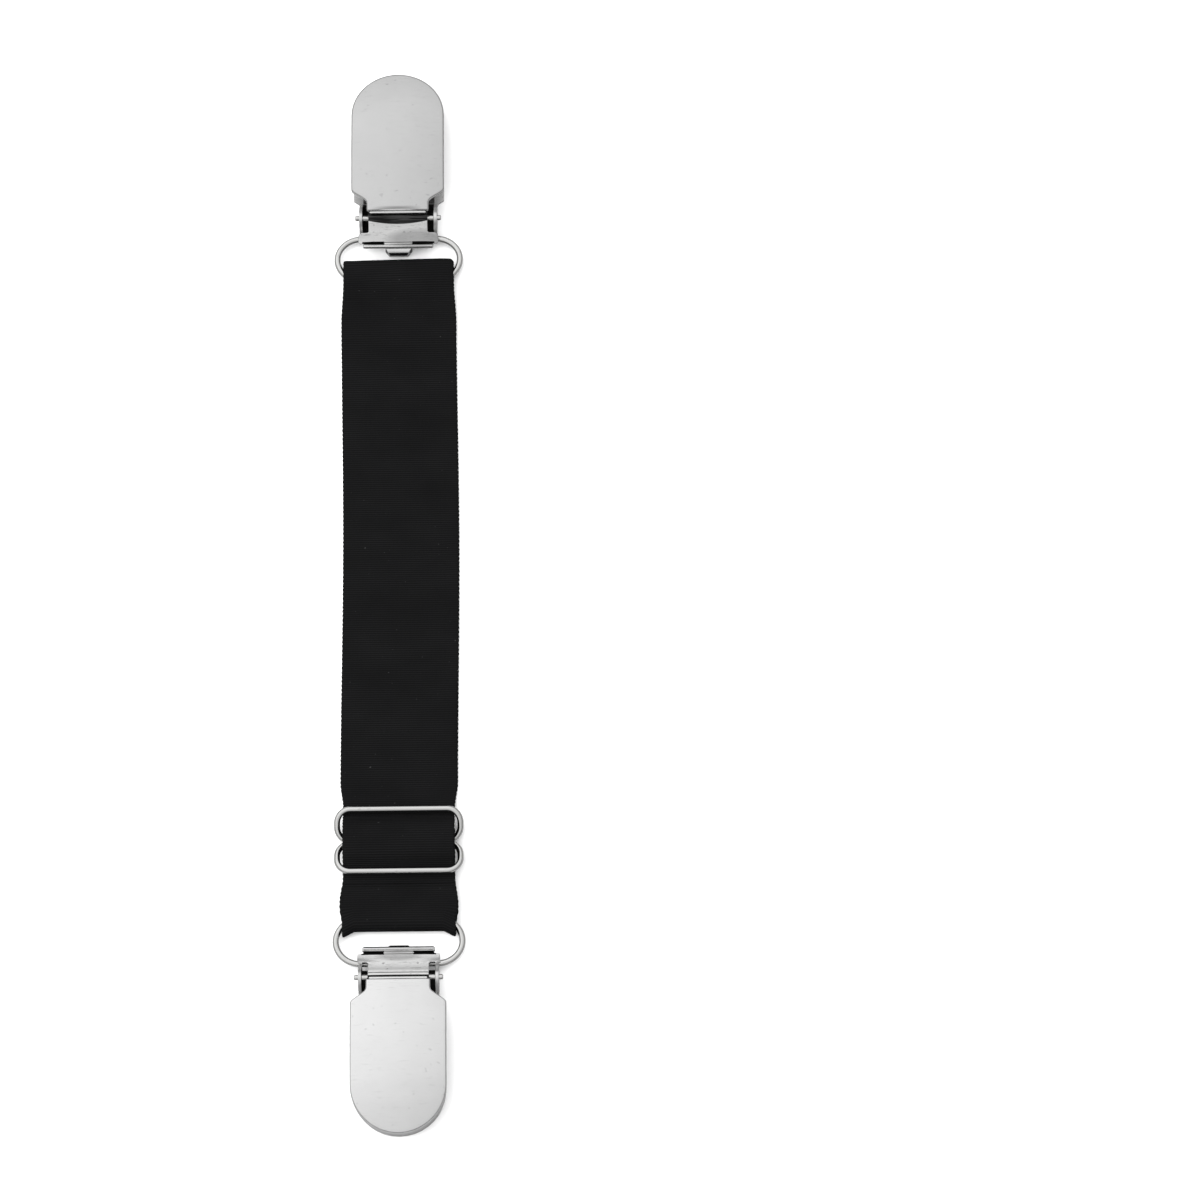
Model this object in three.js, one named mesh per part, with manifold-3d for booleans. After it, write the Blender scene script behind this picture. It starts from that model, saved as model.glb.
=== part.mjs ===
// Shirt stay: an elastic webbing strap with a wire slider and a locking clip at each end.
// Millimetres, +Z up. The stay lies on the plane z = 0 with its front up, its length is along Y
// and the origin is under the middle of its length.
import * as THREE from 'three';
import { mergeVertices } from 'three/addons/utils/BufferGeometryUtils.js';
import Module from 'manifold-3d';

const wasm = await Module();
wasm.setup();

// Clearance between neighbouring pieces
const clearance = 0.3;

// Webbing
const webbingWidth = 25.0;
const webbingThickness = 1.1;
const webbingFoldNarrowing = 0.5;
const webbingSliderNarrowing = 0.65;
const webbingSway = 0.45;
const topSeamOffset = 5.5;
const topSeamLength = 7.0;
const topStepLength = 5.2;
const loopSeamLength = 1.1;
const seamOverlap = 0.08;
const topFoldInset = 0.15;
const topFoldSlant = 0.22;
const bottomFoldInset = 2.05;
const bottomFoldSag = 1.2;
const bottomFoldSagReach = 3.2;

// Rings
const ringWire = 1.3;
const ringDepth = 10.8;
const ringEndReach = 5.25;
const ringSideGap = 0.65;
const ringSpan = 150.6;

// Slider
const sliderWire = 1.3;
const sliderLength = 14.6;
const sliderCornerRadius = 2.8;
const sliderSideGap = 0.5;
const sliderBarSpacing = 0.6;
const sliderBarSlack = 0.8;
const sliderToRing = 21.25;

// Clip sheet metal
const sheet = 0.7;
const shieldHalfWidth = 10.05;
const shieldNeckHalfWidth = 6.7;
const shieldNeckEnd = 0.8;
const shieldNeckLength = 2.6;
const shieldShoulderLength = 2.2;
const shieldSideLength = 17.3;
const shieldArch = 0.62;
const shieldTipFall = 3.2;
const shieldCrown = 0.9;
const shieldSideRim = 1.2;
const hemLength = 2.1;
const baseInset = 0.25;
const tipRimHeight = 3.0;

// Clip hinge
const pinDiameter = 1.1;
const pinProud = 0.9;
const pinToRingBar = 3.55;
const earSideGap = 1.0;
const earLength = 4.3;
const earTopMargin = 1.6;
const camRadius = 1.45;
const camLobe = 0.4;

// Lever
const leverShoulderProud = 0.1;
const leverShoulderGap = 0.7;
const leverShort = 1.3;
const leverDrop = 1.35;
const leverLipInset = 1.0;
const leverLipRise = 0.95;
const leverBridgeHalfWidth = 3.0;
const leverSlotLength = 1.0;

// Ring hook on the base plate
const hookHalfWidth = 2.9;
const hookTipHalfWidth = 1.85;
const hookEndGap = 0.8;
const hookTaperLength = 1.5;
const hookReturnCover = 0.95;

// Mesh fineness
const ringSegments = 44;
const wireSides = 8;
const camSides = 20;
const holeSides = 16;
const rowsPerFold = 8;
const runRows = 10;

// Strap beside the slider: share of the slider's half span, then share of the rise
const approachRows = [
  [1.85, 0.0],
  [1.5, 0.12],
  [1.22, 0.48],
];
const humpRows = [
  [1.0, 0.0],
  [0.83, 0.18],
  [0.66, 0.47],
  [0.51, 0.78],
  [0.35, 0.93],
  [0.18, 0.99],
  [0.0, 1.0],
];
const laterShare = 1.5;

// Loop round the slider's centre bar: where it starts, how far the lobes reach into it, its tail
const loopStartShare = 0.3;
const lobeReach = 2.1;
const tailRows = [
  [-0.29, 0.0],
  [-0.4, 0.5],
  [-0.52, 1.0],
];

// Shield's outer face: share of its length, share of the arch, share of the fall to the tip
const shieldFaceRows = [
  [0.0, 0.0, 0.0],
  [0.17, 0.5, 0.0],
  [0.3, 0.87, 0.0],
  [0.42, 1.0, 0.0],
  [0.55, 1.0, 0.03],
  [0.68, 1.0, 0.145],
  [0.8, 1.0, 0.375],
  [0.91, 1.0, 0.69],
  [1.0, 1.0, 1.0],
];

// Lever arm: share of its reach, then share of the drop from the pin to its flat
const leverRows = [
  [-0.1, -0.55],
  [0.16, -0.47],
  [0.35, 0.06],
  [0.57, 0.6],
  [0.78, 0.97],
  [0.87, 1.0],
];

// Sizes that follow from the ones above
const pinRadius = pinDiameter / 2;
const holeRadius = pinRadius + clearance;
const ringRadius = ringWire / 2;
const sliderRadius = sliderWire / 2;
const foldHalfWidth = webbingWidth / 2 - webbingFoldNarrowing;
const sliderWebbingHalfWidth = webbingWidth / 2 - webbingSliderNarrowing;
const ringHalfWidth = foldHalfWidth + ringSideGap + ringRadius;
const ringHalfDepth = ringDepth / 2 - ringRadius;
const ringStrapBarHeight = webbingThickness + clearance + ringRadius;
const ringClipBarHeight = sheet + clearance + ringRadius;
const pinPosition = ringSpan / 2 + ringHalfDepth + pinToRingBar;
const sliderHalfWidth = sliderWebbingHalfWidth + sliderSideGap + sliderRadius;
const sliderHalfSpan = sliderLength / 2 - sliderRadius;
const sliderPosition = sliderToRing - ringSpan / 2;
const sliderCentreHeight = webbingThickness + clearance + sliderRadius;
const sliderBarRise = webbingThickness / 2 + sliderRadius + clearance + sliderBarSlack;
const topSeamStart = ringSpan / 2 - ringHalfDepth - topSeamOffset;
const topSeamEnd = topSeamStart - topSeamLength;
const topStepEnd = topSeamEnd - topStepLength;
const wallFront = camRadius + camLobe + clearance;
const wallBack = wallFront + sheet;
const wallHalfWidth = shieldNeckHalfWidth - sheet;
const shoulderStart = shieldNeckEnd + shieldNeckLength;
const shoulderEnd = shoulderStart + shieldShoulderLength;
const sideEnd = shoulderEnd + shieldSideLength;
const shieldLength = sideEnd + shieldHalfWidth;
const earInner = shieldNeckHalfWidth + earSideGap;
const earHalfSpan = earInner + sheet;
const earRingSide = pinToRingBar - ringRadius - 2 * clearance;
const hookReach = pinToRingBar + ringHalfDepth - hookEndGap;
const hookReturnHeight = ringClipBarHeight + ringRadius + clearance;
const leverFlatHeight = hookReturnHeight + 1.5 * sheet + clearance;
const pinHeight = leverFlatHeight + leverDrop;
const leverReach = hookReach - leverShort;
const leverNeckHalfWidth = shieldNeckHalfWidth - clearance;
const leverShoulderHalfWidth = earHalfSpan + leverShoulderProud;
const leverShoulderStart = earRingSide + 2 * clearance + leverShoulderGap;
const leverLipHalfWidth = leverShoulderHalfWidth - leverLipInset;
const hemThickness = 1.6 * sheet;
const crownAtWall = shieldCrown * (wallHalfWidth / shieldHalfWidth) ** 2;
const neckTop = pinHeight + camRadius + 1.3 * clearance + hemThickness + crownAtWall;

const steel = { metalness: 1.0, roughness: 0.18 };
const materials = {
  webbing: new THREE.MeshStandardMaterial({ color: 0x1b1b1b, roughness: 0.95, metalness: 0.0 }),
  plate: new THREE.MeshStandardMaterial({ color: 0xd4d4d2, ...steel }),
  lever: new THREE.MeshStandardMaterial({ color: 0xc4c4c2, ...steel }),
  wire: new THREE.MeshStandardMaterial({ color: 0xdcdcda, ...steel }),
};

// Linear reading of a table of [position, value] rows
function lookup(rows, position) {
  for (let i = 1; i < rows.length; i += 1) {
    const [a, av] = rows[i - 1];
    const [b, bv] = rows[i];
    if (position <= b) {
      const share = Math.max(0, (position - a) / (b - a));
      return av + (bv - av) * share;
    }
  }
  return rows[rows.length - 1][1];
}

function smooth(from, to, value) {
  const share = Math.min(1, Math.max(0, (value - from) / (to - from)));
  return share * share * (3 - 2 * share);
}

// A closed geometry as a solid for joining and cutting
function solid(geometry) {
  const bare = geometry.clone();
  bare.deleteAttribute('normal');
  bare.deleteAttribute('uv');
  const merged = mergeVertices(bare, 1e-5);
  return new wasm.Manifold(new wasm.Mesh({
    numProp: 3,
    vertProperties: new Float32Array(merged.attributes.position.array),
    triVerts: new Uint32Array(merged.index.array),
  }));
}

function namedMesh(name, body, material) {
  const result = body.getMesh();
  const geometry = new THREE.BufferGeometry();
  geometry.setAttribute('position', new THREE.BufferAttribute(result.vertProperties, 3));
  geometry.setIndex(new THREE.BufferAttribute(result.triVerts, 1));
  geometry.computeVertexNormals();
  const mesh = new THREE.Mesh(geometry, material);
  mesh.name = name;
  return mesh;
}

// A side profile of [y, z] points carried along X from one side to the other
function acrossX(points, fromX, toX) {
  const shape = new THREE.Shape(points.map(([y, z]) => new THREE.Vector2(y, z)));
  const geometry = new THREE.ExtrudeGeometry(shape, { depth: toX - fromX, bevelEnabled: false });
  const turn = new THREE.Matrix4().makeBasis(
    new THREE.Vector3(0, 1, 0),
    new THREE.Vector3(0, 0, 1),
    new THREE.Vector3(1, 0, 0),
  );
  geometry.applyMatrix4(turn);
  geometry.translate(fromX, 0, 0);
  return solid(geometry);
}

// A plan outline of [x, y] points raised from one height to another
function raised(points, fromZ, toZ) {
  const shape = new THREE.Shape(points.map(([x, y]) => new THREE.Vector2(x, y)));
  const geometry = new THREE.ExtrudeGeometry(shape, { depth: toZ - fromZ, bevelEnabled: false });
  geometry.translate(0, 0, fromZ);
  return solid(geometry);
}

function block(fromX, toX, fromY, toY, fromZ, toZ) {
  const geometry = new THREE.BoxGeometry(toX - fromX, toY - fromY, toZ - fromZ);
  geometry.translate((fromX + toX) / 2, (fromY + toY) / 2, (fromZ + toZ) / 2);
  return solid(geometry);
}

function rodAlongX(radius, halfLength, y, z, sides) {
  const geometry = new THREE.CylinderGeometry(radius, radius, 2 * halfLength, sides);
  geometry.rotateZ(Math.PI / 2);
  geometry.translate(0, y, z);
  return solid(geometry);
}

// Both halves of a plan outline given on its +X side
function mirrored(points) {
  const other = points.map(([x, y]) => [-x, y]).reverse();
  return [...points, ...other];
}

// A flat strip of sheet along a [y, z] centre line
function strip(line, thickness) {
  const sides = [[], []];
  line.forEach((point, i) => {
    const before = line[Math.max(0, i - 1)];
    const after = line[Math.min(line.length - 1, i + 1)];
    const along = new THREE.Vector2(after[0] - before[0], after[1] - before[1]).normalize();
    const half = thickness / 2;
    sides[0].push([point[0] + along.y * half, point[1] - along.x * half]);
    sides[1].push([point[0] - along.y * half, point[1] + along.x * half]);
  });
  return [...sides[0], ...sides[1].reverse()];
}

// A box whose grid is bent into a shell: place(i, j, k) gives each grid point
function bentBox(columns, rows, place) {
  const geometry = new THREE.BoxGeometry(1, 1, 1, columns, rows, 1);
  const position = geometry.attributes.position;
  const point = new THREE.Vector3();
  for (let n = 0; n < position.count; n += 1) {
    point.fromBufferAttribute(position, n);
    const i = Math.round((point.x + 0.5) * columns);
    const j = Math.round((point.y + 0.5) * rows);
    const k = Math.round(point.z + 0.5);
    position.setXYZ(n, ...place(i, j, k));
  }
  return solid(geometry);
}

// A closed wire loop in plan, with its height a function of its y
class WireLoop extends THREE.Curve {
  constructor(halfWidth, halfDepth, reach, cornerDepth, heightAt) {
    super();
    this.path = new THREE.CurvePath();
    const bar = halfWidth - reach;
    const straight = halfDepth - cornerDepth;
    const turn = Math.PI / 2;
    const line = (x0, y0, x1, y1) => {
      if (Math.hypot(x1 - x0, y1 - y0) > 1e-6) {
        this.path.add(new THREE.LineCurve(new THREE.Vector2(x0, y0), new THREE.Vector2(x1, y1)));
      }
    };
    const arc = (x, y, from) => {
      const curve = new THREE.EllipseCurve(x, y, reach, cornerDepth, from, from + turn);
      this.path.add(curve);
    };
    line(0, -halfDepth, bar, -halfDepth);
    arc(bar, -straight, -turn);
    line(halfWidth, -straight, halfWidth, straight);
    arc(bar, straight, 0);
    line(bar, halfDepth, -bar, halfDepth);
    arc(-bar, straight, turn);
    line(-halfWidth, straight, -halfWidth, -straight);
    arc(-bar, -straight, 2 * turn);
    line(-bar, -halfDepth, 0, -halfDepth);
    this.heightAt = heightAt;
  }

  getPoint(t, target = new THREE.Vector3()) {
    const flat = this.path.getPointAt(Math.min(1, Math.max(0, t)));
    return target.set(flat.x, flat.y, this.heightAt(flat.y));
  }
}

function wireLoop(curve, radius) {
  return solid(new THREE.TubeGeometry(curve, ringSegments, radius, wireSides, true));
}

// Ring: straight long sides and half-ellipse ends, its +Y bar in the clip's hook
function ringBody() {
  const tilt = (ringClipBarHeight - ringStrapBarHeight) / (2 * ringHalfDepth);
  const middle = (ringClipBarHeight + ringStrapBarHeight) / 2;
  const height = (y) => middle + tilt * y;
  const curve = new WireLoop(ringHalfWidth, ringHalfDepth, ringEndReach, ringHalfDepth, height);
  return wireLoop(curve, ringRadius);
}

// Slider: two closed lobes joined along the centre bar
function sliderBody() {
  const halfDepth = (sliderHalfSpan - sliderBarSpacing / 2) / 2;
  const centre = halfDepth + sliderBarSpacing / 2;
  const rise = sliderBarRise / (2 * halfDepth);
  const height = (y) => sliderCentreHeight + rise * (y + halfDepth);
  const corner = Math.min(sliderCornerRadius, halfDepth);
  const curve = new WireLoop(sliderHalfWidth, halfDepth, corner, corner, height);
  const lobe = wireLoop(curve, sliderRadius).translate([0, centre, 0]);
  const other = lobe.rotate([0, 0, 180]);
  return lobe.add(other);
}

// Centre line of the band from the tail behind the top ring to the tail at the slider
function bandLine() {
  const low = webbingThickness / 2;
  const doubled = low + webbingThickness - seamOverlap;
  const overLower = low + webbingThickness + clearance;
  const strapBar = ringSpan / 2 - ringHalfDepth;
  const foldRadius = ringStrapBarHeight - low;
  const overBar = ringStrapBarHeight + foldRadius;
  const under = sliderCentreHeight;
  const hump = sliderCentreHeight + sliderRadius + 2 * clearance + 1.5 * webbingThickness;
  const points = [];
  const go = (y, z) => points.push([y, z]);
  const turn = (edge, height, sign, upward) => {
    const radius = height - low;
    for (let i = 0; i <= rowsPerFold; i += 1) {
      const angle = Math.PI * (i / rowsPerFold - 0.5) * upward;
      const y = edge - low - radius + radius * Math.cos(angle);
      go(sign * y, height + radius * Math.sin(angle));
    }
    return points.length - 1 - rowsPerFold / 2;
  };
  const atSlider = (share, z) => go(sliderPosition + share * sliderHalfSpan, z);

  // Tail, upper fold and seam
  go(topSeamEnd, low);
  go(topSeamStart, low);
  go(strapBar, low);
  const topFold = turn(ringSpan / 2 - topFoldInset, ringStrapBarHeight, 1, 1);
  go(strapBar, overBar);
  go((strapBar + topSeamStart) / 2, (overBar + doubled) / 2);
  go(topSeamStart, doubled);
  go(topSeamEnd, doubled);
  go(topStepEnd, low);

  // Long run on the table
  const humpStart = sliderPosition + approachRows[0][0] * sliderHalfSpan;
  for (let i = 1; i < runRows; i += 1) {
    go(topStepEnd + (humpStart - topStepEnd) * i / runRows, low);
  }

  // Behind the upper bar, over the centre bar and behind the lower bar
  approachRows.forEach(([share, rise]) => atSlider(share, low + (under - low) * rise));
  humpRows.forEach(([share, rise]) => atSlider(share, under + (hump - under) * rise));
  [...humpRows].reverse().slice(1).forEach(([share, rise]) => {
    atSlider(-share, under + (hump - under) * rise);
  });

  // Lower fold and the layer that runs back beneath
  const between = (sliderPosition - laterShare * sliderHalfSpan - strapBar) / 2;
  atSlider(-laterShare, overLower + seamOverlap);
  go(between, (overLower + overBar) / 2);
  go(-strapBar, overBar);
  const bottomFold = turn(ringSpan / 2 - bottomFoldInset, ringStrapBarHeight, -1, -1);
  go(-strapBar, low);
  go(between, low);
  atSlider(-1, low);
  atSlider(-loopStartShare, low);

  // Loop round the slider's centre bar and its seam
  const loopReach = sliderBarSpacing / 2 + lobeReach * sliderRadius + clearance + webbingThickness;
  const loopFold = turn(sliderPosition + loopReach, sliderCentreHeight, 1, 1);
  const loopTop = 2 * sliderCentreHeight - low;
  tailRows.forEach(([share, fall]) => atSlider(share, loopTop + (doubled - loopTop) * fall));
  const tail = points[points.length - 1];
  go(tail[0] - loopSeamLength, doubled);
  return { points, cuts: [0, topFold, bottomFold, loopFold, points.length - 1] };
}

// Half width of the webbing along the strap
function webbingHalfWidth(y) {
  const full = webbingWidth / 2;
  const bar = ringSpan / 2 - ringHalfDepth;
  const top = webbingFoldNarrowing * smooth(bar - 2 * ringHalfDepth, bar, y);
  const bottom = webbingFoldNarrowing * smooth(bar - 0.5 * ringHalfDepth, bar, -y);
  const away = Math.abs(y - sliderPosition) / sliderHalfSpan;
  const slider = webbingSliderNarrowing * (1 - smooth(1.1, 2.0, away));
  return full - Math.max(top, bottom, slider);
}

// Sideways wave of the strap, which dies out at the slider and the rings
function sway(y) {
  const free = ringSpan / 2 - 2 * ringHalfDepth;
  const from = sliderPosition + laterShare * sliderHalfSpan;
  const share = (y - from) / (free - from);
  if (share <= 0 || share >= 1) {
    return 0;
  }
  return webbingSway * Math.sin(Math.PI * share) ** 2;
}

// Ends of the strap: the lower fold's corners sag and the upper fold slants
function endShift(x, y) {
  const bar = ringSpan / 2 - ringHalfDepth;
  const reach = webbingWidth / 2 - bottomFoldSagReach;
  const nearBottom = smooth(bar - 0.6 * ringHalfDepth, bar, -y);
  const nearTop = smooth(bar - 0.6 * ringHalfDepth, bar, y);
  const sag = bottomFoldSag * smooth(reach, foldHalfWidth, Math.abs(x));
  return topFoldSlant * (x / foldHalfWidth) * nearTop - sag * nearBottom;
}

function webbingBody() {
  const { points, cuts } = bandLine();
  const columns = [-1, -0.93, -0.85, -0.76, -0.4, 0.4, 0.76, 0.85, 0.93, 1];
  const half = webbingThickness / 2;
  const piece = (from, to) => bentBox(columns.length - 1, to - from, (i, j, k) => {
    const n = from + j;
    const before = points[Math.max(0, n - 1)];
    const after = points[Math.min(points.length - 1, n + 1)];
    const along = new THREE.Vector2(after[0] - before[0], after[1] - before[1]).normalize();
    const offset = (k === 1 ? 1 : -1) * half;
    const y = points[n][0] - along.y * offset;
    const z = points[n][1] + along.x * offset;
    const x = columns[i] * webbingHalfWidth(y) + sway(y);
    return [x, y + endShift(x, y), z];
  });
  let body = piece(cuts[0], cuts[1] + 1);
  for (let i = 1; i < cuts.length - 1; i += 1) {
    body = body.add(piece(cuts[i], Math.min(cuts[i + 1] + 1, points.length - 1)));
  }
  return body;
}

// Shield rows from the neck to the tip: v along the clip, w half width, with an edge inset
function shieldRows(inset) {
  const radius = shieldHalfWidth - inset;
  const neck = shieldNeckHalfWidth - inset;
  const rows = [];
  const add = (v, w) => rows.push({ v, w, bow: 0 });
  add(shieldNeckEnd, neck);
  add(shieldNeckEnd + 0.5 * shieldNeckLength, neck);
  for (const share of [0, 0.33, 0.67, 1]) {
    add(shoulderStart + share * shieldShoulderLength, neck + share * (radius - neck));
  }
  for (const share of [0.17, 0.34, 0.51, 0.68, 0.84, 1]) {
    add(shoulderEnd + share * shieldSideLength, radius);
  }
  for (const degrees of [14, 28, 41, 53, 64, 74]) {
    const angle = THREE.MathUtils.degToRad(degrees);
    add(sideEnd + radius * Math.sin(angle), radius * Math.cos(angle));
  }
  const last = rows[rows.length - 1];
  last.bow = sideEnd + radius - last.v;
  return rows;
}

// Height of the shield's outer face
function shieldTop(x, v) {
  const rise = lookup(shieldFaceRows.map(([at, share]) => [at, share]), v / shieldLength);
  const fall = lookup(shieldFaceRows.map(([at, , share]) => [at, share]), v / shieldLength);
  const crown = shieldCrown * (x / shieldHalfWidth) ** 2;
  return neckTop + shieldArch * rise - shieldTipFall * fall - crown;
}

// Lower edge of the shield's turned rim
function rimBottom(w, v) {
  const side = shieldTop(w, v) - shieldSideRim;
  const tip = tipRimHeight + clearance;
  const share = smooth(sideEnd - 0.1 * shieldHalfWidth, sideEnd + 0.7 * shieldHalfWidth, v);
  return side + (tip - side) * share;
}

function frontPlateBody() {
  const outer = shieldRows(0);
  const inner = shieldRows(sheet);
  const columns = 14;
  const rows = outer.length;
  const shell = bentBox(columns, rows, (i, j, k) => {
    const set = k === 1 ? outer : inner;
    const row = set[Math.min(j, rows - 1)];
    const rim = outer[Math.min(j, rows - 1)];
    const edge = i === 0 || i === columns;
    const share = Math.max(-1, Math.min(1, 2 * (i - 1) / (columns - 2) - 1));
    const x = row.w * share;
    const v = row.v + row.bow * (1 - share * share);
    if (edge || j === rows) {
      return [x, v, rimBottom(rim.w, rim.v)];
    }
    const depth = k === 1 ? 0 : sheet;
    return [x, v, shieldTop(x, v) - depth];
  });
  const hemTop = neckTop - crownAtWall - 0.1 * sheet;
  const hemBottom = neckTop - crownAtWall - hemThickness;
  const hem = block(-wallHalfWidth, wallHalfWidth, shieldNeckEnd, shieldNeckEnd + hemLength, hemBottom, hemTop);
  const foot = sheet + clearance;
  const wall = block(-wallHalfWidth, wallHalfWidth, wallFront, wallBack, foot, hemTop);
  return shell.add(hem).add(wall);
}

// Plan outline of the base plate, +X side from the hook end to the tip
function basePlan() {
  const shoulder = shoulderStart + 0.5 * shieldShoulderLength;
  const rows = shieldRows(baseInset).filter((row) => row.v > shoulder);
  const side = rows.map((row) => [row.w, row.v]);
  return mirrored([[earHalfSpan, -earRingSide], [earHalfSpan, earLength], ...side]);
}

function earProfile() {
  const top = pinHeight + earTopMargin;
  const points = [
    [-earRingSide, 0.5 * sheet],
    [earLength, 0.5 * sheet],
    [earLength, 0.48 * pinHeight],
    [0.45 * earLength, pinHeight + 0.3 * earTopMargin],
  ];
  for (const degrees of [50, 70, 90, 110, 130, 155]) {
    const angle = THREE.MathUtils.degToRad(degrees);
    points.push([earTopMargin * Math.cos(angle), pinHeight + (top - pinHeight) * Math.sin(angle)]);
  }
  points.push([-earRingSide - 2 * clearance, 0.75 * pinHeight]);
  points.push([-earRingSide - 2 * clearance, 0.6 * pinHeight]);
  return points;
}

// Tongue of the base plate, hooked up and back over the ring's bar
function hookBody() {
  const half = sheet / 2;
  const middle = (sheet + hookReturnHeight) / 2;
  const radius = middle - half;
  const centre = hookReach - half - radius;
  const line = [[1, half], [-pinToRingBar, half], [-centre, half]];
  for (let i = 1; i < rowsPerFold; i += 1) {
    const angle = Math.PI * (i / rowsPerFold - 0.5);
    line.push([-(centre + radius * Math.cos(angle)), middle + radius * Math.sin(angle)]);
  }
  line.push([-centre, middle + radius]);
  line.push([-(pinToRingBar - hookReturnCover), middle + radius]);
  const bar = acrossX(strip(line, sheet), -hookHalfWidth, hookHalfWidth);
  const plan = mirrored([
    [hookTipHalfWidth, -hookReach - clearance],
    [hookTipHalfWidth, -hookReach],
    [hookHalfWidth, -(hookReach - hookTaperLength)],
    [hookHalfWidth, 2],
  ]);
  return bar.intersect(raised(plan, -1, hookReturnHeight + 2 * sheet));
}

// Upturned rim round the tip of the base plate
function baseRim() {
  const radius = shieldHalfWidth - baseInset;
  const segments = 14;
  const spread = THREE.MathUtils.degToRad(66);
  return bentBox(1, segments, (i, j, k) => {
    const angle = spread * (1 - 2 * j / segments);
    const r = radius - (i === 1 ? 0 : sheet);
    const fall = smooth(0.55, 1.0, Math.abs(angle) / spread);
    const top = tipRimHeight - (tipRimHeight - sheet) * fall;
    return [r * Math.sin(angle), sideEnd + r * Math.cos(angle), k === 1 ? top : 0];
  });
}

function basePlateBody() {
  let body = raised(basePlan(), 0, sheet).add(hookBody()).add(baseRim());
  body = body.add(acrossX(earProfile(), earInner, earHalfSpan));
  body = body.add(acrossX(earProfile(), -earHalfSpan, -earInner));
  return body.subtract(rodAlongX(holeRadius, earHalfSpan + 1, 0, pinHeight, holeSides));
}

// Cam profile round the pin: low toward the shield's neck end, high toward the wall
function camProfile() {
  const points = [];
  for (let i = 0; i < camSides; i += 1) {
    const angle = 2 * Math.PI * i / camSides;
    const lobe = camLobe * (0.5 + 0.5 * Math.cos(angle + Math.PI / 6)) ** 2;
    const radius = camRadius + lobe;
    points.push([radius * Math.cos(angle), pinHeight + radius * Math.sin(angle)]);
  }
  return points;
}

function leverBody() {
  const line = leverRows.map(([reach, drop]) => [-reach * leverReach, pinHeight - drop * leverDrop]);
  line.push([-0.94 * leverReach, leverFlatHeight + 0.4 * leverLipRise]);
  line.push([-leverReach, leverFlatHeight + leverLipRise]);
  const arm = acrossX(strip(line, sheet), -leverShoulderHalfWidth, leverShoulderHalfWidth);
  const slotEnd = 0.935 * leverReach;
  const slotStart = slotEnd - leverSlotLength;
  const end = -leverReach - sheet;
  const plan = mirrored([
    [leverLipHalfWidth - 0.6 * sheet, end],
    [leverLipHalfWidth, end + sheet],
    [leverLipHalfWidth, -slotEnd],
    [leverBridgeHalfWidth, -slotEnd],
    [leverBridgeHalfWidth, -slotStart],
    [leverShoulderHalfWidth, -slotStart],
    [leverShoulderHalfWidth, -leverShoulderStart],
    [leverNeckHalfWidth, -leverShoulderStart + sheet],
    [leverNeckHalfWidth, leverReach],
  ]);
  const blank = arm.intersect(raised(plan, 0, 2 * pinHeight));
  const cam = acrossX(camProfile(), -leverNeckHalfWidth, leverNeckHalfWidth);
  const hole = rodAlongX(holeRadius, leverShoulderHalfWidth + 1, 0, pinHeight, holeSides);
  return blank.add(cam).subtract(hole);
}

function pinBody() {
  return rodAlongX(pinRadius, earHalfSpan + pinProud, 0, pinHeight, 12);
}

// One clip with its pin over the group's own origin and its tip toward +Y
function clip(prefix) {
  const group = new THREE.Group();
  group.add(namedMesh(`${prefix}_base_plate`, basePlateBody(), materials.plate));
  group.add(namedMesh(`${prefix}_front_plate`, frontPlateBody(), materials.plate));
  group.add(namedMesh(`${prefix}_lever`, leverBody(), materials.lever));
  group.add(namedMesh(`${prefix}_hinge_pin`, pinBody(), materials.wire));
  const ring = namedMesh(`${prefix}_ring`, ringBody(), materials.wire);
  ring.position.y = -(pinToRingBar + ringHalfDepth);
  group.add(ring);
  return group;
}

const stay = new THREE.Group();
stay.add(namedMesh('webbing', webbingBody(), materials.webbing));
const slider = namedMesh('slider', sliderBody(), materials.wire);
slider.position.y = sliderPosition;
stay.add(slider);
const topClip = clip('top');
topClip.position.y = pinPosition;
stay.add(topClip);
const bottomClip = clip('bottom');
bottomClip.position.y = -pinPosition;
bottomClip.rotation.z = Math.PI;
stay.add(bottomClip);

export default stay;
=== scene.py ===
import math

import bmesh
import bpy
import numpy as np
from mathutils import Matrix


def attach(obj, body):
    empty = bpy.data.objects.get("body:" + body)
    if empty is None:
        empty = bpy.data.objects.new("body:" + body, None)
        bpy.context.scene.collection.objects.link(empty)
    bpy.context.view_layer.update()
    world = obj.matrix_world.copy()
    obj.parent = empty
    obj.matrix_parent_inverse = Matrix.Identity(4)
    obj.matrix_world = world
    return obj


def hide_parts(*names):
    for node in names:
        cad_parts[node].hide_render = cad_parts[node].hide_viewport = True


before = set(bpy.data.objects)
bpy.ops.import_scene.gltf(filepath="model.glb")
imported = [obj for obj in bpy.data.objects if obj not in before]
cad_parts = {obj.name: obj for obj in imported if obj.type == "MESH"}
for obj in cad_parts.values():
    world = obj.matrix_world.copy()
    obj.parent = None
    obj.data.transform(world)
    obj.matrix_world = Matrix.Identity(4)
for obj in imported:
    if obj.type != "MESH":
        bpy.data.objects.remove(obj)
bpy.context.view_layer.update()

# --- Webbing ---------------------------------------------------------------------------------
# One band of black elastic webbing with fine ribs across it and a knitted edge. It is sewn to
# itself behind the upper ring, threaded through the slider, turned round the lower ring and
# brought back to the slider's centre bar, where its tail is sewn round the bar.
MM = 0.001
WEBBING_HALF, WEBBING_THICK, WEBBING_GIRTH = 12.5, 1.1, 52.2
FOLD_NARROWING, SLIDER_NARROWING = 0.5, 0.65
EDGE_ROUND, EDGE_NOTCH, RIB_PITCH, WARP_PITCH = 0.42, 0.1, 0.48, 0.62
RING_BAR_Y, RING_BAR_Z, RING_HALF_DEPTH = 70.55, 2.05, 4.75
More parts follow.
